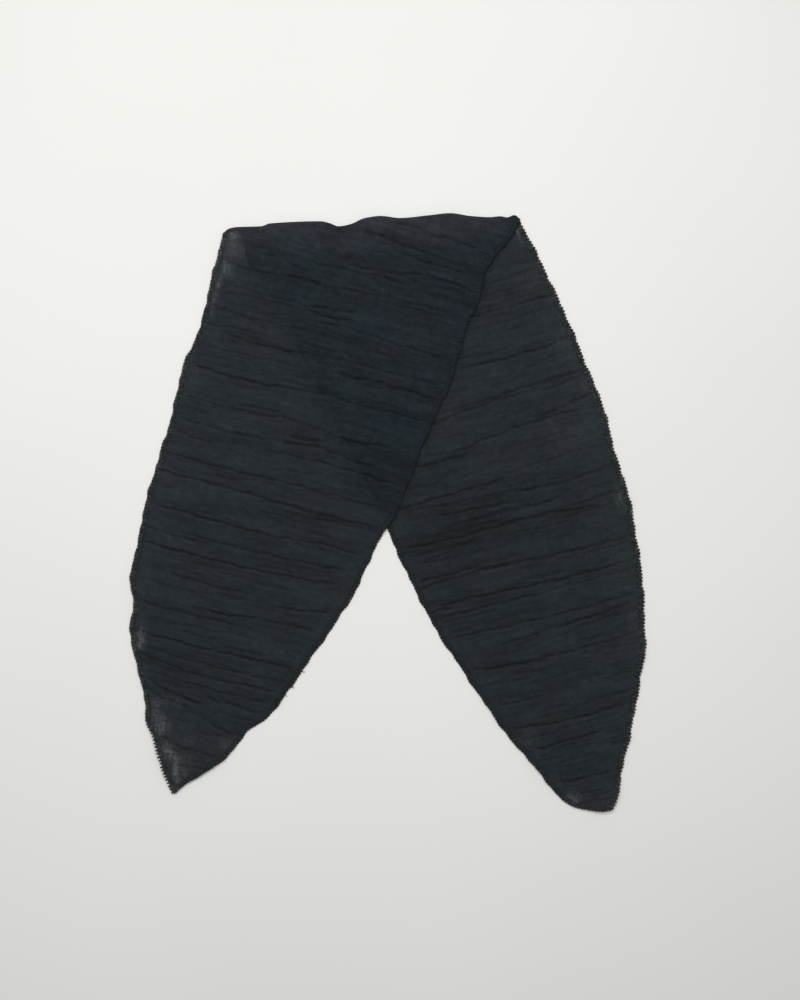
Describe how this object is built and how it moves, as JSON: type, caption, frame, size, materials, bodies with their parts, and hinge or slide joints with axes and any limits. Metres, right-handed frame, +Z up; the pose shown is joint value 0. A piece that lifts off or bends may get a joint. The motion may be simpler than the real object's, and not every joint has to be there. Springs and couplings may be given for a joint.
{
  "type": "skinny scarf",
  "caption": "Long narrow scarf of light crinkled cloth with pointed ends and an overlocked edge, folded once and laid flat.",
  "frame": {"origin": "middle of the laid-out scarf, on the surface that it lies on", "axes": "+X to the right across the fold, +Y from the pointed ends towards the fold, +Z up off the surface"},
  "size_m": [0.3858, 0.4478, 0.0047],
  "materials": {
    "cloth": "matt semi-sheer crinkled plain weave, near black with a faint blue-green cast",
    "thread": "spun polyester overlock thread, near black, slight sheen"
  },
  "bodies": {
    "root": {"over_leg": "cloth", "under_leg": "cloth", "fold_turn": "cloth", "over_leg_left_edge": "thread", "over_leg_right_edge": "thread", "under_leg_left_edge": "thread", "under_leg_right_edge": "thread"}
  },
  "joints": []
}
